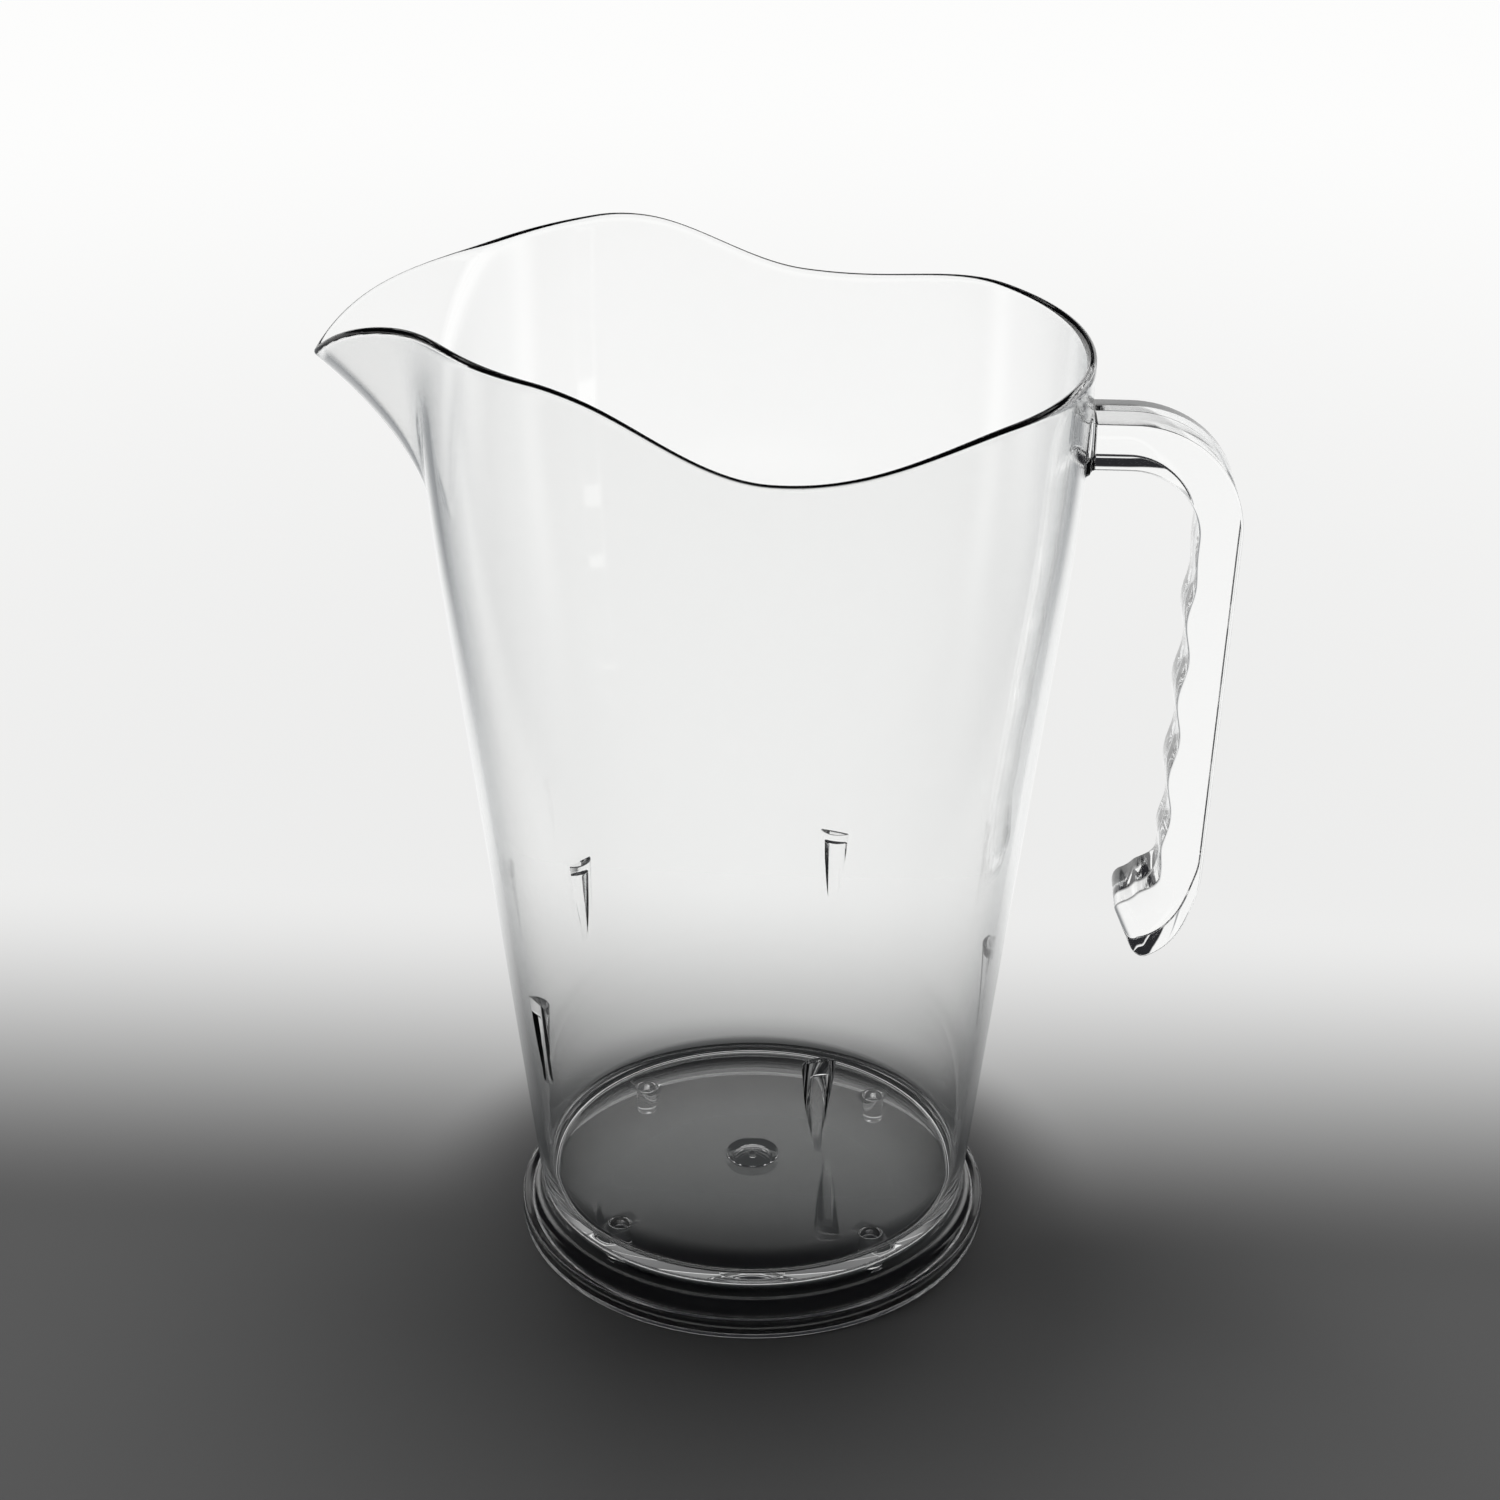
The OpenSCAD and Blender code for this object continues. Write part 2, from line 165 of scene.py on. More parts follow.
class PitcherLugs(bpy.types.PropertyGroup):
    gap: length("Nesting gap", "Clearance round the foot of a pitcher that stands on the lugs", 0.2)
    reach: length("Reach", "How far a lug's top stands in from the wall", 2.3)
    radius: length("Radius", "Radius of a lug's upright face", 4.6)
    pocket: length("Pocket", "Radius of the outside pocket behind a lug", 2.3)
    pocket_wall: length("Pocket wall", "Wall between a lug's upright face and its pocket", 1.9)
    pocket_roof: length("Pocket roof", "Thickness of a lug above its pocket", 3.2)
    peg_radius: length("Peg radius", "Radius of a base peg", 2.6)
    peg_length: length("Peg length", "Length of a base peg", 7.4)
    peg_flare: length("Peg flare", "Radius of the flare where a peg meets the floor", 0.45)
    peg_round: length("Peg rounding", "Rounding of a peg's lower end", 0.7)
    peg_inset: length("Peg inset", "Distance from the circle of the pegs out to the wall's cone", 9.0)


class PitcherLooks(bpy.types.PropertyGroup):
    clear: tone("Clear plastic", "Tint of the clear plastic", (0.995, 0.997, 0.995))
    # Painted shade: the plastic's colour where it is seen edge on, darker than its own tint
    edge: tone("Plastic edge", "Tint of the clear plastic where it is seen edge on", (0.45, 0.47, 0.48))
    floor_near: tone("Near floor", "Colour of the floor in front", (0.11, 0.11, 0.11))
    floor_clear: tone("Near floor in plastic", "Near floor as the plastic shows it", (0.08, 0.082, 0.083))
    # Painted light: tone given to the floor under the foot in place of the plastic's full shadow
    painted_light_under_foot: tone("Floor under foot", "Floor that is lit through the clear panel", (0.045, 0.047, 0.048))
    backdrop: tone("Backdrop", "Backdrop as the plastic shows it", (1.0, 1.0, 0.995))
    flag: tone("Side flags", "Studio's sides as the plastic shows them", (0.32, 0.33, 0.34))
    backdrop_low: tone("Backdrop low", "Foot of the backdrop, seen past the pitcher", (0.84, 0.84, 0.835))
    backdrop_high: tone("Backdrop high", "Backdrop higher up, seen past the pitcher", (0.98, 0.98, 0.975))
    ceiling: tone("Ceiling", "Colour of the unlit room", (0.022, 0.022, 0.025))


SETTINGS = {
    "pitcher_foot": PitcherFoot,
    "pitcher_body": PitcherBody,
    "pitcher_handle": PitcherHandle,
    "pitcher_lugs": PitcherLugs,
    "pitcher_looks": PitcherLooks,
}


def settings():
    scene = bpy.context.scene
    return [getattr(scene, name) for name in SETTINGS]


# Shape of the vessel


def smooth(u):
    return (1 - math.cos(math.pi * min(max(u, 0.0), 1.0))) / 2


def mix(a, b, u):
    return a + (b - a) * u


class Shape:
    """The vessel's surfaces, worked out from the sizes. Heights are from the table, radii from the axis."""

    def __init__(self):
        self.foot, self.body, self.handle, self.lugs, _ = settings()
        f, b = self.foot, self.body
        self.slope = math.tan(b.lean)
        self.base = f.radius - f.step
        self.cove = (f.step - f.ledge - self.slope * f.ring_height) / (1 + self.slope)
        self.cove_x = f.radius - f.ledge
        self.cove_z = f.ring_height + self.cove
        self.under = self.cove_z + f.skirt_rise
        self.floor = self.under + f.floor_wall
        self.rim_front = b.rim_back + b.rim_rise
        self.lug_top = (f.step + self.lugs.gap + b.wall / math.cos(b.lean)) / self.slope
        self.lug_face = self.wall_in(self.lug_top) - self.lugs.reach
        self.lug_low = self.lug_top - self.lugs.reach / self.slope

    def cone(self, z):
        """Radius of the wall's cone, carried on down to the table."""
        return self.base + self.slope * z

    def wall_out(self, z):
        """Outer radius of the wall, which turns upright near the rim."""
        b = self.body
        h, span = z - b.upright_from, b.upright_to - b.upright_from
        if h <= 0:
            return self.cone(z)
        gain = span / 2 if h >= span else h - h * h / (2 * span)
        return self.cone(b.upright_from) + self.slope * gain

    def wall_in(self, z):
        return self.cone(z) - self.body.wall / math.cos(self.body.lean)

    def rim(self, angle):
        """Height of the rim in a direction from the handle."""
        b = self.body
        s = abs((angle + math.pi) % (2 * math.pi) - math.pi)
        dip = abs(s - b.dip_at) / b.dip_half
        wave = mix(b.rim_back, self.rim_front, smooth((s - b.rise_from) / (b.rise_to - b.rise_from)))
        wave -= b.dip * (0 if dip >= 1 else (1 + math.cos(math.pi * dip)) / 2)
        return wave - b.tip_drop / (1 + ((math.pi - s) / b.tip_half) ** 2) ** 2

    def spout(self, angle, depth):
        """How far the spout stands out from the wall, at a depth below the rim."""
        b = self.body
        q, h = b.spout_height - depth, b.spout_blend
        ramp = 0 if q <= -h else q if q >= h else (q + h) ** 2 / (4 * h)
        reach = b.spout_reach / b.spout_height * ramp
        away = math.pi - abs((angle + math.pi) % (2 * math.pi) - math.pi)
        width = b.spout_half * mix(b.spout_root, 1, reach / b.spout_reach)
        return reach * math.exp(-((away / width) ** 2))

    def skin(self, angle, u):
        """Point of the wall's outer face, a share u of the way from the floor to the rim."""
        top = self.rim(angle) - self.body.wall / 2
        z = mix(self.floor, top, u)
        r = self.wall_out(z) + self.spout(angle, top - z)
        return Vector((r * math.cos(angle), r * math.sin(angle), z))

    def frame_at(self, angle, u):
        """Directions up along the outer face and straight out of it."""
        along = (self.skin(angle, u + 0.002) - self.skin(angle, u - 0.002)).normalized()
        around = (self.skin(angle + 0.005, u) - self.skin(angle - 0.005, u)).normalized()
        return along, around.cross(along).normalized()

    def place(self, kind, angle, value):
        """Point of the upper wall: on its outer skin, its rounded rim or its lining."""
        wall = self.body.wall
        if kind == "skin":
            return self.skin(angle, value)
        if kind == "lining":
            return self.skin(angle, value) - wall * self.frame_at(angle, value)[1]
        along, out = self.frame_at(angle, 1.0)
        return self.skin(angle, 1.0) + wall / 2 * (math.sin(value) * along - (1 - math.cos(value)) * out)


def arc(cx, cz, r, start, end, steps):
    """Points on an arc in the profile's plane, from one angle to another in degrees."""
    return [
        (
            cx + r * math.cos(math.radians(mix(start, end, k / steps))),
            cz + r * math.sin(math.radians(mix(start, end, k / steps))),
        )
        for k in range(steps + 1)
    ]


def dome(radius, height, steps=12):
    """Half outline of a low dome, from its crown to its edge."""
    big = (radius * radius + height * height) / (2 * height)
    spread = math.asin(radius / big)
    turns = [spread * k / steps for k in range(steps + 1)]
    return [(big * math.sin(t), height - big * (1 - math.cos(t))) for t in turns]


def flat_rings(start, end, z):
    """Points across the flat floor, with one close to each end that keeps smooth shading off the flat."""
    close = math.copysign(0.15 * MM, end - start)
    return [(r, z) for r in (start + close, *(mix(start, end, k / 8) for k in range(1, 8)), end - close)]


def vessel_profile(shape):
    """Half section of the vessel: from the axis under the floor, round foot and rim, to the axis above it.

    Returns the points, and for the points of the upper wall what they are and how far up.
    """
    f, b = shape.foot, shape.body
    under, cove_x, cove_z = shape.under, shape.cove_x, shape.cove_z
    sweep = shape.cove + f.skirt_wall
    inner = f.radius - f.ring_wall
    meet = 180 + math.degrees(math.acos((cove_x - inner) / sweep))
    skirt_in = shape.cone(under) - f.skirt_wall
    soft, fillet = f.ring_break, 1.5 * MM
    stub_end, nick = under + f.stub_gap, 0.2 * MM
    points = [(0.0, stub_end), (f.stub_radius / 2, stub_end)]
    points += arc(f.stub_radius - nick, stub_end + nick, nick, -90, 0, 3)
    well = [(r, under + z) for r, z in dome(f.well_radius, f.well_height) if r > f.stub_radius + nick / 2]
    points += [(f.stub_radius, well[0][1])] + well
    points += flat_rings(f.well_radius, skirt_in - fillet, under)
    points += arc(skirt_in - fillet, under - fillet, fillet, 90, 0, 5)
    points += arc(cove_x, cove_z, sweep, 183, meet - 4, 12)
    points += [(inner, cove_z - sweep * math.sin(math.radians(meet - 180)) - soft)]
    points += arc(inner + soft / 2, soft / 2, soft / 2, 180, 270, 4)
    points += [(mix(inner, f.radius, k / 3), 0.0) for k in (1, 2)]
    points += arc(f.radius - soft / 2, soft / 2, soft / 2, -90, 0, 4)
    points += [(f.radius, f.ring_height / 2)]
    points += arc(f.radius - soft, f.ring_height - soft, soft, 0, 90, 5)
    points += arc(cove_x, cove_z, shape.cove, 270, 180, 14)
    points += [(shape.cone(z), z) for z in (mix(cove_z, under, 0.5), under, mix(under, shape.floor, 0.5))]

    marks = {}

    def mark(kind, value, place):
        marks[len(points)] = (kind, value)
        points.append(place)

    top = shape.rim_front
    # Few rings up the plain cone, and many where rim and spout bend the wall
    levels = [k / 16 * 0.72 for k in range(17)] + [0.72 + 0.28 * k / 40 for k in range(1, 41)]
    for u in levels:
        z = mix(shape.floor, top, u)
        mark("skin", u, (shape.wall_out(z), z))
    for k in range(1, 8):
        t = math.pi * k / 8
        mark("rim", t, (shape.wall_out(top) - b.wall / 2 * (1 - math.cos(t)), top + b.wall / 2 * math.sin(t)))
    for u in reversed(levels[1:]):
        z = mix(shape.floor, top, u)
        mark("lining", u, (shape.wall_out(z) - b.wall, z))
    r = shape.wall_in(shape.floor + f.corner)
    points += arc(r - f.corner, shape.floor + f.corner, f.corner, -6, -90, 9)
    points += flat_rings(r - f.corner, f.boss_radius + nick, shape.floor)
    points += arc(f.boss_radius + nick / 2, shape.floor + nick / 2, nick / 2, -90, -180, 3)
    crown = dome(f.boss_radius - nick / 2, f.boss_height - f.boss_edge)
    points += [(r, shape.floor + f.boss_edge + z) for r, z in reversed(crown)]
    return points, marks


# Modelling helpers


def clear_selection():
    if bpy.context.mode != "OBJECT":
        bpy.ops.object.mode_set(mode="OBJECT")
    bpy.ops.object.select_all(action="DESELECT")


def start_editing(name):
    obj = bpy.context.view_layer.objects.active
    obj.name = name
    obj.data.name = name
    bpy.ops.object.mode_set(mode="EDIT")
    return obj, bmesh.from_edit_mesh(obj.data)


def finish_mesh(obj):
    if bpy.context.mode != "OBJECT":
        bpy.ops.object.mode_set(mode="OBJECT")
    clear_selection()
    obj.select_set(True)
    bpy.context.view_layer.objects.active = obj
    bpy.ops.object.transform_apply(location=True, rotation=True, scale=True)


def tidy_shell():
    bpy.ops.mesh.select_all(action="SELECT")
    bpy.ops.mesh.remove_doubles(threshold=1e-6)
    bpy.ops.mesh.normals_make_consistent(inside=False)
    bpy.ops.object.mode_set(mode="OBJECT")


def combine(target, tool, operation):
    """Adds, cuts or crosses the tool with the target for good, and deletes the tool."""
    clear_selection()
    target.select_set(True)
    bpy.context.view_layer.objects.active = target
    modifier = target.modifiers.new(operation.title(), "BOOLEAN")
    modifier.operation = operation
    modifier.solver = "EXACT"
    modifier.object = tool
    bpy.ops.object.modifier_apply(modifier=modifier.name)
    bpy.data.objects.remove(tool, do_unlink=True)
    if not target.data.polygons:
        raise RuntimeError(f"{operation} left nothing of {target.name}")


def rods(name, count, circle, radius, low, high, soft, sides=64):
    """Upright rods with softened upper and lower edges, evenly spaced on a circle, as one mesh."""
    made = []
    for k in range(count):
        clear_selection()
        place = 2 * math.pi * k / count
        bpy.ops.mesh.primitive_cylinder_add(
            vertices=sides,
            radius=radius,
            depth=high - low,
            location=(circle * math.cos(place), circle * math.sin(place), (low + high) / 2),
            rotation=(0, 0, place),
        )
        obj, mesh = start_editing(f"{name}_{k + 1}")
        bpy.ops.mesh.select_all(action="DESELECT")
        for edge in mesh.edges:
            if abs(edge.verts[0].co.z - edge.verts[1].co.z) < 1e-6:
                edge.select_set(True)
        bmesh.update_edit_mesh(obj.data)
        bpy.ops.mesh.bevel(offset=soft, segments=4, affect="EDGES")
        bpy.ops.object.mode_set(mode="OBJECT")
        finish_mesh(obj)
        made.append(obj)
    clear_selection()
    for obj in made:
        obj.select_set(True)
    bpy.context.view_layer.objects.active = made[0]
    bpy.ops.object.join()
    made[0].name = name
    return made[0]


def turned(name, place, stations, sides=64):
    """Solid of revolution about an upright axis, from the radius and height of each ring, lowest first."""
    clear_selection()
    radius, low = stations[0]
    bpy.ops.mesh.primitive_circle_add(
        vertices=sides, radius=radius, fill_type="NGON", location=(*place, low)
    )
    obj, _ = start_editing(name)
    for (r0, z0), (r1, z1) in zip(stations, stations[1:]):
        bpy.ops.mesh.extrude_region_move(TRANSFORM_OT_translate={"value": (0, 0, z1 - z0)})
        bpy.ops.transform.resize(value=(r1 / r0, r1 / r0, 1), center_override=(*place, z1))
    tidy_shell()
    finish_mesh(obj)
    return obj


def build_vessel(shape):
    """Spins the half section and gives the upper wall its wavy rim and spout."""
    points, marks = vessel_profile(shape)
    clear_selection()
    bpy.ops.mesh.primitive_plane_add(size=MM, location=(0, 0, 0))
    obj, _ = start_editing("pitcher_vessel")
    bpy.ops.mesh.merge(type="CENTER")
    mesh = bmesh.from_edit_mesh(obj.data)
    mesh.verts.ensure_lookup_table()
    mesh.verts[0].co = (points[0][0], 0, points[0][1])
    for (r0, z0), (r1, z1) in zip(points, points[1:]):
        bpy.ops.mesh.extrude_region_move(TRANSFORM_OT_translate={"value": (r1 - r0, 0, z1 - z0)})
    bpy.ops.mesh.select_all(action="SELECT")
    bpy.ops.mesh.spin(
        steps=shape.body.steps, angle=2 * math.pi, center=(0, 0, 0), axis=(0, 0, 1), use_auto_merge=True
    )
    bpy.ops.mesh.select_all(action="SELECT")
    bpy.ops.mesh.remove_doubles(threshold=2e-6)
    bpy.ops.object.mode_set(mode="OBJECT")

    # Each vertex is known by the profile's point that it was spun from
    tree = KDTree(len(points))
    for k, (r, z) in enumerate(points):
        tree.insert((r, 0, z), k)
    tree.balance()
    for vertex in obj.data.vertices:
        x, y, z = vertex.co
        r = math.hypot(x, y)
        angle = math.atan2(y, x)
        if r > 1e-5:
            angle += shape.body.crowding * math.sin(angle)
        k = tree.find((r, 0, z))[1]
        if k in marks:
            kind, value = marks[k]
            vertex.co = shape.place(kind, angle, value)
        else:
            vertex.co = (r * math.cos(angle), r * math.sin(angle), z)
    bpy.ops.object.mode_set(mode="EDIT")
    tidy_shell()
    finish_mesh(obj)
    return obj


def bar_section(out, inward, half, soft):
    """Rounded rectangle across the bar, as places along its depth and its width."""
    steps = 5
    points = []
    for q, (u, v) in enumerate(((out - soft, half - soft), (soft - inward, half - soft),
                                (soft - inward, soft - half), (out - soft, soft - half))):
        for k in range(steps + 1):
            t = math.pi / 2 * (q + k / steps)
            points.append((u + soft * math.cos(t), v + soft * math.sin(t)))
    return points


def bar_stations(shape):
    """Places along the bar: middle point, heading below level, depth out and in, half width, edge."""
    h, b = shape.handle, shape.body
    flare_steps, bend_steps, grip_steps, hook_steps, end_steps = 8, 24, 96, 24, 8
    buried, buried_gain = 1.35 * MM, 0.9 * MM
    mid_z = b.rim_back - h.drop - h.root_depth / 2
    wall_x = shape.wall_out(mid_z)
    plane_x = wall_x + h.flare
    half, soft = h.width / 2, h.edge

    def root(x, gain):
        return (x, mid_z, 0.0, h.root_depth / 2 + gain, h.root_depth / 2 + gain, half + gain, soft + gain)

    stations = [root(wall_x - buried, h.flare + buried_gain)]
    for k in range(flare_steps, -1, -1):
        t = math.pi / 2 * k / flare_steps
        stations.append(root(plane_x - h.flare * math.sin(t), h.flare * (1 - math.cos(t))))
    total = math.pi / 2 + h.grip_lean
    cx, cz = wall_x + h.reach - h.grip_depth / 2 - h.bend, mid_z - h.bend
    stations.append(root(mix(plane_x, cx, 0.5), 0))

    def side(t):
        return Vector((math.sin(t), math.cos(t)))

    def heading(t):
        return Vector((math.cos(t), -math.sin(t)))

    def add(at, t, out, inward):
        stations.append((at[0], at[1], t, out, inward, half, soft))

    centre = Vector((cx, cz))
    for k in range(bend_steps):
        u = k / bend_steps
        depth = mix(h.root_depth, h.grip_depth, smooth((u - 0.4) / 0.6)) / 2
        add(centre + h.bend * side(total * u), total * u, depth, depth)
    start = centre + h.bend * side(total)
    for k in range(grip_steps):
        s = h.grip_length * k / grip_steps
        groove = h.groove_depth / 2 * math.cos(2 * math.pi * (s / h.groove_pitch - 1.0))
        groove *= smooth(s / h.groove_pitch) * smooth((h.grip_length - s) / h.groove_pitch * 2)
        add(start + s * heading(total), total, h.grip_depth / 2, h.grip_depth / 2 + groove)
    hook_start = start + h.grip_length * heading(total)
    hook_centre = hook_start - h.hook * side(total)
    for k in range(hook_steps + 1):
        u = k / hook_steps
        t = total + h.hook_turn * u
        add(
            hook_centre + h.hook * side(t), t,
            mix(h.grip_depth, h.end_depth, smooth((u - 0.2) / 0.8)) / 2,
            mix(h.grip_depth, h.end_depth, smooth(u / 0.6)) / 2,
        )
    end_turn = total + h.hook_turn
    end = hook_centre + h.hook * side(end_turn)
    for k in range(1, end_steps + 1):
        t = math.pi / 2 * k / end_steps
        shrink = h.end_round * (1 - math.cos(t))
        at = end + h.end_round * math.sin(t) * heading(end_turn)
        stations.append((at[0], at[1], end_turn, h.end_depth / 2 - shrink, h.end_depth / 2 - shrink,
                         half - shrink, soft))
    return stations


def build_handle(shape):
    """Extrudes the bar's section along its path, from inside the wall to the hooked end."""
    stations = bar_stations(shape)

    def ring(station):
        x, z, t, out, inward, half, soft = station
        normal = (math.sin(t), math.cos(t))
        section = bar_section(out, inward, half, soft)
        return [Vector((x + normal[0] * u, v, z + normal[1] * u)) for u, v in section]

    first = ring(stations[0])
    clear_selection()
    bpy.ops.mesh.primitive_circle_add(vertices=len(first), radius=MM, fill_type="NGON", location=(0, 0, 0))
    obj, mesh = start_editing("pitcher_handle")
    mesh.verts.ensure_lookup_table()
    for vertex, place in zip(mesh.verts, first):
        vertex.co = place
    bmesh.update_edit_mesh(obj.data)
    for station in stations[1:]:
        bpy.ops.mesh.extrude_region_move(TRANSFORM_OT_translate={"value": (0, 0, 0)})
        mesh = bmesh.from_edit_mesh(obj.data)
        moved = [v for v in mesh.verts if v.select]
        moved.sort(key=lambda v: v.index)
        for vertex, place in zip(moved, ring(station)):
            vertex.co = place
        bmesh.update_edit_mesh(obj.data)
    tidy_shell()
    finish_mesh(obj)
    return obj


# Materials


class Socket:
    """An output socket that can be used in sums, so that a pattern reads as a formula."""

    def __init__(self, tree, output):
        self.tree, self.output = tree, output

    def _math(self, operation, *values):
        node = self.tree.nodes.new("ShaderNodeMath")
        node.operation = operation
        for k, value in enumerate(values):
            if isinstance(value, Socket):
                self.tree.links.new(value.output, node.inputs[k])
            else:
                node.inputs[k].default_value = value
        return Socket(self.tree, node.outputs[0])

    def __add__(self, other):
        return self._math("ADD", self, other)

    def __sub__(self, other):
        return self._math("SUBTRACT", self, other)

    def __mul__(self, other):
        return self._math("MULTIPLY", self, other)

    def root(self):
        return self._math("SQRT", self)

    def highest(self, other):
        return self._math("MAXIMUM", self, other)

    def ramp(self, low, high):
        node = self.tree.nodes.new("ShaderNodeMapRange")
        node.interpolation_type = "SMOOTHSTEP"
        node.inputs["From Min"].default_value = low
        node.inputs["From Max"].default_value = high
        self.tree.links.new(self.output, node.inputs["Value"])
        return Socket(self.tree, node.outputs["Result"])


class Finish:
    """A material with object coordinates and named patterns."""

    def __init__(self, name):
        self.material = bpy.data.materials.new(name)
        self.material.use_nodes = True
        self.tree = self.material.node_tree
        self.tree.nodes.clear()
        self.out = self.tree.nodes.new("ShaderNodeOutputMaterial")
        self.place = self.tree.nodes.new("ShaderNodeTexCoord").outputs["Object"]

    def node(self, kind, **values):
        node = self.tree.nodes.new(kind)
        for name, value in values.items():
            node.inputs[name.replace("_", " ")].default_value = value
        return node

    def link(self, source, target):
        self.tree.links.new(source.output if isinstance(source, Socket) else source, target)

    def noise(self, scale, stretch=(1, 1, 1), **values):
        mapping = self.node("ShaderNodeMapping", Scale=stretch)
        self.link(self.place, mapping.inputs["Vector"])
        noise = self.node("ShaderNodeTexNoise", Scale=scale, **values)
        self.link(mapping.outputs["Vector"], noise.inputs["Vector"])
        return Socket(self.tree, noise.outputs["Fac"])

    def along(self, axis):
        parts = self.node("ShaderNodeSeparateXYZ")
        self.link(self.place, parts.inputs[0])
        return Socket(self.tree, parts.outputs[axis])

    def ray(self, *kinds):
        path = self.node("ShaderNodeLightPath")
        found = Socket(self.tree, path.outputs[kinds[0]])
        for kind in kinds[1:]:
            found = found.highest(Socket(self.tree, path.outputs[kind]))
        return found


def two_tone(tree, first, second, factor):
    """Blend of two colours, each a plain tone or a node's output."""
    blend = tree.nodes.new("ShaderNodeMix")
    blend.data_type = "RGBA"
    tree.links.new(factor.output, blend.inputs[0])
    for socket, colour in ((blend.inputs[6], first), (blend.inputs[7], second)):
        if isinstance(colour, bpy.types.NodeSocket):
            tree.links.new(colour, socket)
        else:
            socket.default_value = (*colour, 1.0)
    return blend.outputs[2]


def clear_plastic(looks):
    """Polished clear plastic with the faint ripple of moulding and a trace of handling, and painted shade
    where it is seen edge on.
    """
    finish = Finish("clear_plastic")
    shader = finish.node("ShaderNodeBsdfPrincipled", Transmission_Weight=1.0, IOR=1.52)
    weight = finish.node("ShaderNodeLayerWeight", Blend=0.5)
    # Painted shade: the colour turns grey as the surface is seen more edge on
    painted_edge_shade = Socket(finish.tree, weight.outputs["Facing"]).ramp(0.55, 1.0)
    finish.link(two_tone(finish.tree, looks.clear, looks.edge, painted_edge_shade), shader.inputs["Base Color"])
    handling = finish.noise(90.0, Detail=4.0, Roughness=0.6)
    finish.link(handling.ramp(0.5, 0.85) * 0.015 + 0.001, shader.inputs["Roughness"])
    ripple = finish.noise(9.0, stretch=(1.0, 1.0, 0.35), Detail=0.0)
    bump = finish.node("ShaderNodeBump", Strength=0.01, Distance=0.002)
    finish.link(ripple, bump.inputs["Height"])
    finish.link(bump.outputs["Normal"], shader.inputs["Normal"])
    finish.link(shader.outputs[0], finish.out.inputs["Surface"])
    return finish.material


def floor_paper(looks):
    """Matt studio floor: grey under the pitcher and before it, and white behind it and further out.

    The plastic shows it darker in front and grey at the sides, as a set with black flags does. Behind the
    foot the white is held off close round it, a painted shadow. Under the foot it has painted light: the tone
    of a floor lit through the plastic, in place of the plastic's own shadow, which comes out full.
    """
    finish = Finish("studio_floor")
    tree = finish.tree
    east, north = finish.along("X"), finish.along("Y")
    beside = (east * east).root()
    out = (east * east + north * north).root()
    camera = finish.ray("Is Camera Ray")

    matt = finish.node("ShaderNodeBsdfDiffuse")
    finish.link(two_tone(tree, looks.floor_clear, looks.floor_near, camera), matt.inputs["Color"])

    # Colour of the white part as it is seen past the pitcher and in the plastic, and the painted light under
    # the foot
    past = two_tone(tree, looks.backdrop_low, looks.backdrop_high, out.ramp(0.1, 1.2))
    flagged = (beside - north * 0.25).ramp(0.11, 0.24) * (north - beside * 0.3).ramp(-0.15, 0.05)
    bent = two_tone(tree, looks.backdrop, looks.flag, flagged * out.ramp(1.8, 0.8))
    around = two_tone(tree, bent, past, camera)
    glow = finish.node("ShaderNodeEmission", Strength=1.0)
    # Painted light: under the foot the glow takes the tone of a floor lit through the plastic
    finish.link(two_tone(tree, around, looks.painted_light_under_foot, out.ramp(0.056, 0.055)), glow.inputs["Color"])

    # Where that part lies: behind the pitcher, further out all round, and under the floor panel. Behind, it
    # is held off close round the foot, fading out by 90 mm from the axis, which leaves a painted shadow
    # there; under the floor panel it carries the painted light
    behind = (north + camera * 0.02).ramp(0.0, 0.17) * out.ramp(0.056, 0.09)
    beyond = (camera * out.ramp(0.7, 1.4)).highest(out.ramp(1.0, 1.6))
    under = out.ramp(0.054, 0.036) * north.ramp(-0.03, 0.0)
    white = behind.highest(beyond).highest(under)

    pick = finish.node("ShaderNodeMixShader")
    finish.link(finish.ray("Is Camera Ray", "Is Glossy Ray", "Is Transmission Ray") * white, pick.inputs[0])
    finish.link(matt.outputs[0], pick.inputs[1])
    finish.link(glow.outputs[0], pick.inputs[2])
    finish.link(pick.outputs[0], finish.out.inputs["Surface"])
    return finish.material


def studio_world(looks):
    """White low down all round and higher up at the back, and a dark room above it and in front."""
    world = bpy.data.worlds.new("studio")
    world.use_nodes = True
    tree = world.node_tree
    parts = tree.nodes.new("ShaderNodeSeparateXYZ")
    tree.links.new(tree.nodes.new("ShaderNodeTexCoord").outputs["Generated"], parts.inputs[0])
    north, height = Socket(tree, parts.outputs["Y"]), Socket(tree, parts.outputs["Z"])
    camera = Socket(tree, tree.nodes.new("ShaderNodeLightPath").outputs["Is Camera Ray"])
    backdrop = north.ramp(0.1, 0.5) * height.ramp(0.27, 0.22)
    low = height.ramp(0.14, 0.06)
    direct = camera * height.ramp(0.5, 0.3)
    # The floor panel mirrors this light strip
    strip = north.ramp(0.3, 0.6) * height.ramp(0.52, 0.54) * height.ramp(0.61, 0.55)
    lit = backdrop.highest(low).highest(direct).highest(strip)
    white = two_tone(tree, looks.backdrop, looks.backdrop_high, camera)
    tree.links.new(two_tone(tree, looks.ceiling, white, lit), tree.nodes["Background"].inputs["Color"])
    return world


# Operators


class PITCHER_OT_vessel(bpy.types.Operator):
    """Spin the vessel's section and shape its rim and spout"""

    bl_idname = "pitcher.vessel"
    bl_label = "Vessel"

    def execute(self, context):
        build_vessel(Shape())
        return {"FINISHED"}


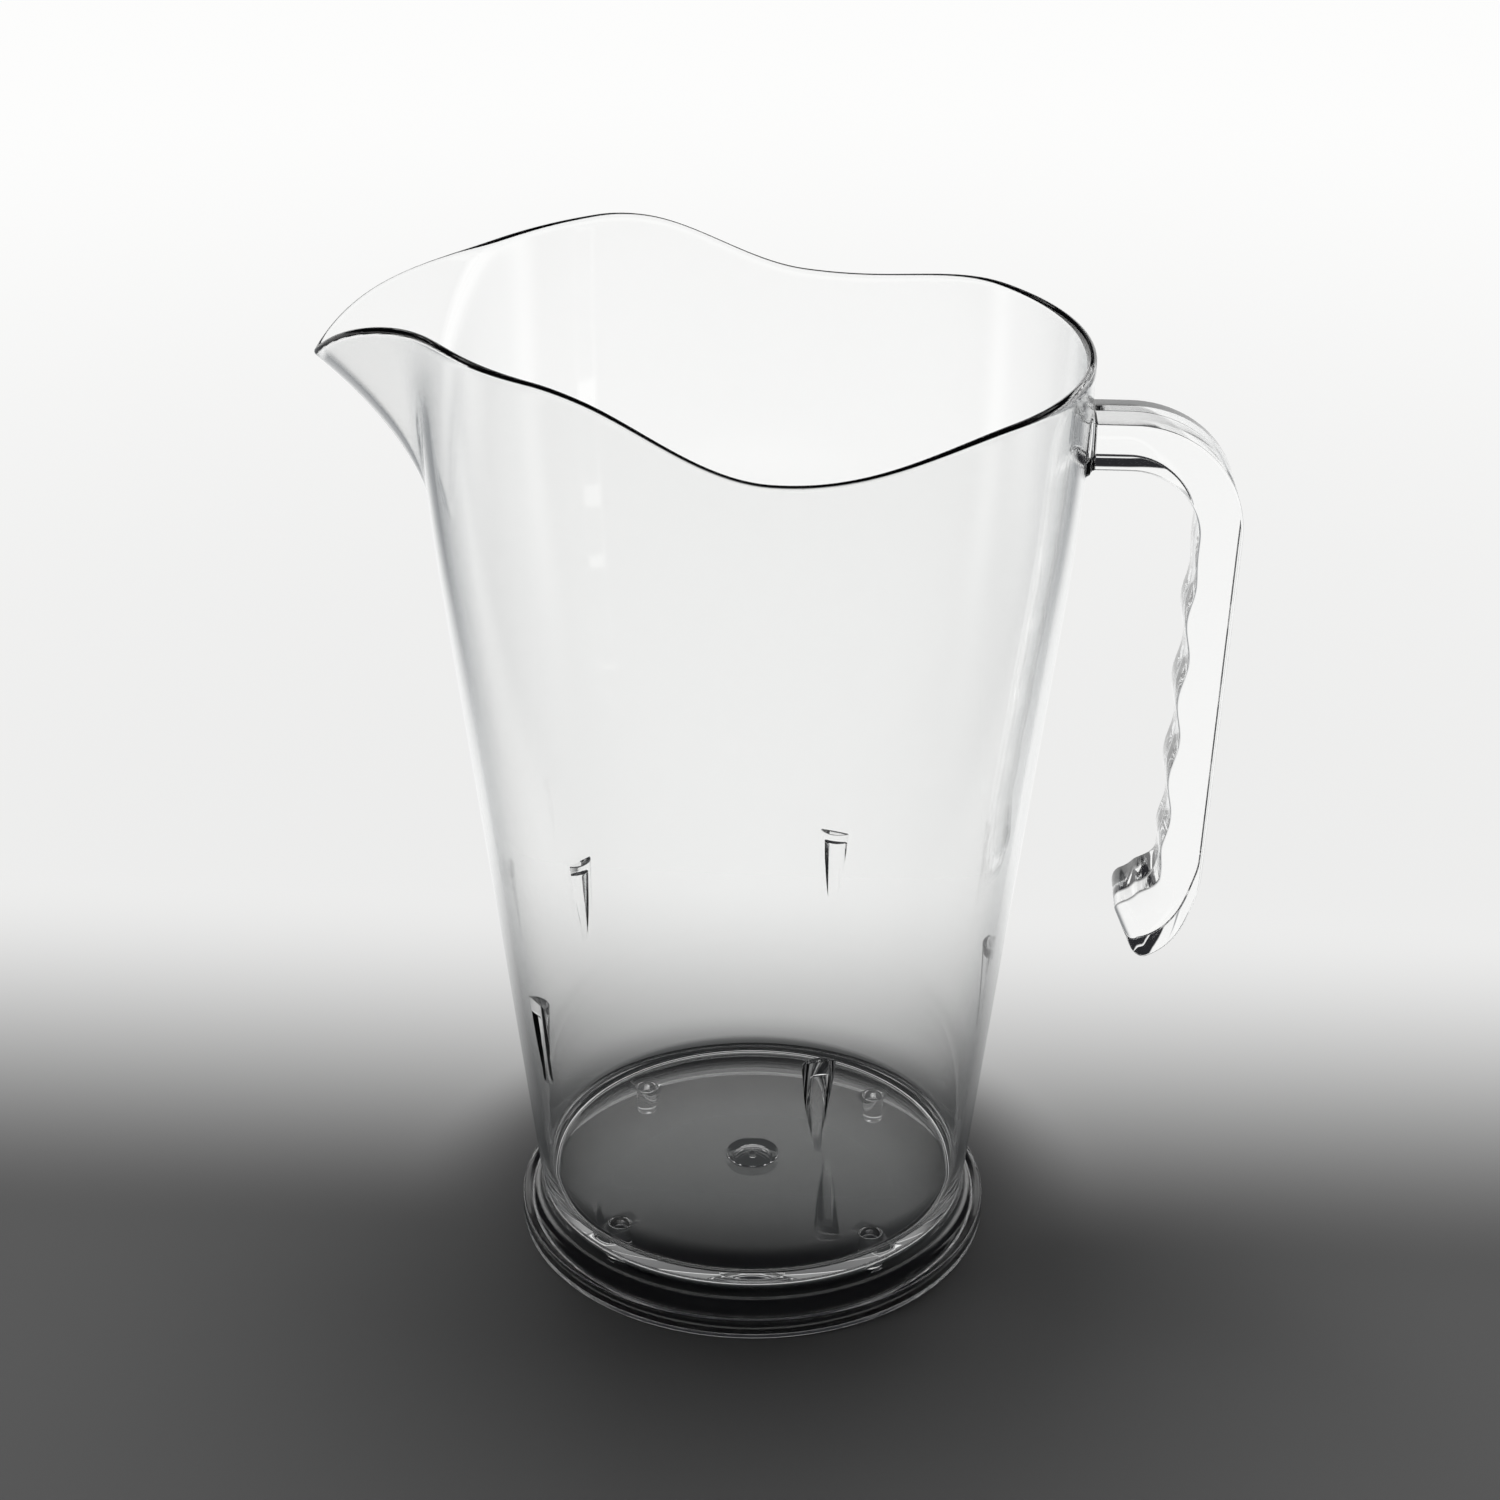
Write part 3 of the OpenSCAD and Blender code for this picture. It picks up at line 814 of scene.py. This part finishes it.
class PITCHER_OT_lugs(bpy.types.Operator):
    """Add the stacking lugs inside the wall and the pockets behind them"""

    bl_idname = "pitcher.lugs"
    bl_label = "Stacking lugs"

    def execute(self, context):
        shape = Shape()
        lugs, wall = shape.lugs, shape.body.wall
        margin, lug_soft, pocket_soft = 2 * MM, 0.35 * MM, 0.5 * MM
        face, top_z, low = shape.lug_face, shape.lug_top, shape.lug_low - margin
        vessel = bpy.data.objects["pitcher_vessel"]
        made = rods("stacking_lugs", LUGS, face + lugs.radius, lugs.radius, low, top_z, lug_soft)
        clear_selection()
        bottom, top = low - margin, top_z + margin
        bpy.ops.mesh.primitive_cone_add(
            vertices=256,
            radius1=shape.cone(bottom) - wall / 2,
            radius2=shape.cone(top) - wall / 2,
            depth=top - bottom,
            location=(0, 0, (bottom + top) / 2),
        )
        core = context.view_layer.objects.active
        combine(made, core, "INTERSECT")
        combine(vessel, made, "UNION")
        circle = face + lugs.pocket_wall + lugs.pocket
        roof = top_z - lugs.pocket_roof
        pockets = rods("pockets", LUGS, circle, lugs.pocket, low - 2 * margin, roof, pocket_soft)
        combine(vessel, pockets, "DIFFERENCE")
        return {"FINISHED"}


class PITCHER_OT_pegs(bpy.types.Operator):
    """Add the pegs under the floor"""

    bl_idname = "pitcher.pegs"
    bl_label = "Base pegs"

    def execute(self, context):
        shape = Shape()
        lugs = shape.lugs
        circle, low, root = shape.base - lugs.peg_inset, shape.under - lugs.peg_length, shape.under
        turns = [math.pi / 2 * k / 6 for k in range(7)]
        stations = [(lugs.peg_radius / 2, low)]
        stations += [
            (lugs.peg_radius - lugs.peg_round * (1 - math.sin(t)), low + lugs.peg_round * (1 - math.cos(t)))
            for t in turns
        ]
        stations += [
            (lugs.peg_radius + lugs.peg_flare * (1 - math.cos(t)), root - lugs.peg_flare * (1 - math.sin(t)))
            for t in turns
        ]
        stations.append((lugs.peg_radius, root + shape.foot.floor_wall / 2))
        for k in range(PEGS):
            place = math.pi / 4 + 2 * math.pi * k / PEGS
            peg = turned("base_peg", (circle * math.cos(place), circle * math.sin(place)), stations)
            combine(bpy.data.objects["pitcher_vessel"], peg, "UNION")
        return {"FINISHED"}


class PITCHER_OT_handle(bpy.types.Operator):
    """Extrude the handle along its path and join it to the wall"""

    bl_idname = "pitcher.handle"
    bl_label = "Handle"

    def execute(self, context):
        handle = build_handle(Shape())
        combine(bpy.data.objects["pitcher_vessel"], handle, "UNION")
        return {"FINISHED"}


class PITCHER_OT_finish(bpy.types.Operator):
    """Smooth the moulding, give it its clear plastic and set it on the frame"""

    bl_idname = "pitcher.finish"
    bl_label = "Clear plastic"

    def execute(self, context):
        looks = context.scene.pitcher_looks
        pitcher = bpy.data.objects["pitcher_vessel"]
        clear_selection()
        pitcher.select_set(True)
        context.view_layer.objects.active = pitcher
        bpy.ops.object.shade_smooth_by_angle(angle=math.radians(CREASE))
        pitcher.name = "pitcher_moulding"
        pitcher.data.materials.clear()
        pitcher.data.materials.append(clear_plastic(looks))
        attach(pitcher, "root")
        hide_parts(*NODES)
        return {"FINISHED"}


class PITCHER_OT_stage(bpy.types.Operator):
    """Lay the floor, stand the backdrop, and place the lights and the camera"""

    bl_idname = "pitcher.stage"
    bl_label = "Studio"

    def execute(self, context):
        looks = context.scene.pitcher_looks
        scene = context.scene
        clear_selection()
        bpy.ops.mesh.primitive_plane_add(size=FLOOR_SIZE, location=(0, 0, FLOOR_LEVEL))
        floor = context.view_layer.objects.active
        floor.name = "studio_floor"
        floor.data.materials.append(floor_paper(looks))

        scene.world = studio_world(looks)

        def softbox(name, place, aim, size, power):
            lamp = bpy.data.lights.new(name, "AREA")
            lamp.shape = "RECTANGLE"
            lamp.size, lamp.size_y = size
            lamp.energy = power
            obj = bpy.data.objects.new(name, lamp)
            scene.collection.objects.link(obj)
            obj.location = place
            obj.rotation_euler = (Vector(aim) - Vector(place)).to_track_quat("-Z", "Y").to_euler()
            obj.visible_glossy = obj.visible_transmission = False

        softbox("top_light", (0.0, 0.35, 1.5), (0, 0.25, 0), (1.0, 1.0), 22)
        softbox("left_light", (-1.5, -0.6, 1.1), (0, 0, 0.1), (0.7, 0.7), 6)

        lens = bpy.data.cameras.new("camera")
        lens.lens = LENS
        lens.sensor_width = 36.0
        lens.clip_start = 0.01
        camera = bpy.data.objects.new("camera", lens)
        scene.collection.objects.link(camera)
        camera.location = CAMERA_PLACE
        camera.rotation_euler = (
            Matrix.Rotation(math.radians(CAMERA_TURN), 3, "Z")
            @ Matrix.Rotation(math.radians(90 - CAMERA_DOWN), 3, "X")
            @ Matrix.Rotation(CAMERA_ROLL, 3, "Z")
        ).to_euler()
        scene.camera = camera
        scene.view_settings.view_transform = "Standard"
        for kind in ("max_bounces", "transmission_bounces", "glossy_bounces"):
            setattr(scene.cycles, kind, LIGHT_BOUNCES)
        return {"FINISHED"}


class PITCHER_PT_panel(bpy.types.Panel):
    """Lists the pitcher's steps and sizes"""

    bl_idname = "PITCHER_PT_panel"
    bl_label = "Beer Pitcher"
    bl_space_type = "VIEW_3D"
    bl_region_type = "UI"
    bl_category = "Pitcher"

    def draw(self, context):
        for step in STEPS:
            self.layout.operator(step.bl_idname)
        for name, group in SETTINGS.items():
            box = self.layout.box()
            for prop in group.__annotations__:
                box.prop(getattr(context.scene, name), prop)


STEPS = (
    PITCHER_OT_vessel,
    PITCHER_OT_lugs,
    PITCHER_OT_pegs,
    PITCHER_OT_handle,
    PITCHER_OT_finish,
    PITCHER_OT_stage,
)


def register():
    for group in SETTINGS.values():
        bpy.utils.register_class(group)
    for name, group in SETTINGS.items():
        setattr(bpy.types.Scene, name, bpy.props.PointerProperty(type=group))
    for step in STEPS:
        bpy.utils.register_class(step)
    bpy.utils.register_class(PITCHER_PT_panel)


def unregister():
    bpy.utils.unregister_class(PITCHER_PT_panel)
    for step in reversed(STEPS):
        bpy.utils.unregister_class(step)
    for name, group in reversed(SETTINGS.items()):
        delattr(bpy.types.Scene, name)
        bpy.utils.unregister_class(group)


def main():
    register()
    bpy.ops.pitcher.vessel()
    bpy.ops.pitcher.lugs()
    bpy.ops.pitcher.pegs()
    bpy.ops.pitcher.handle()
    bpy.ops.pitcher.finish()
    bpy.ops.pitcher.stage()


if __name__ == "__main__":
    main()
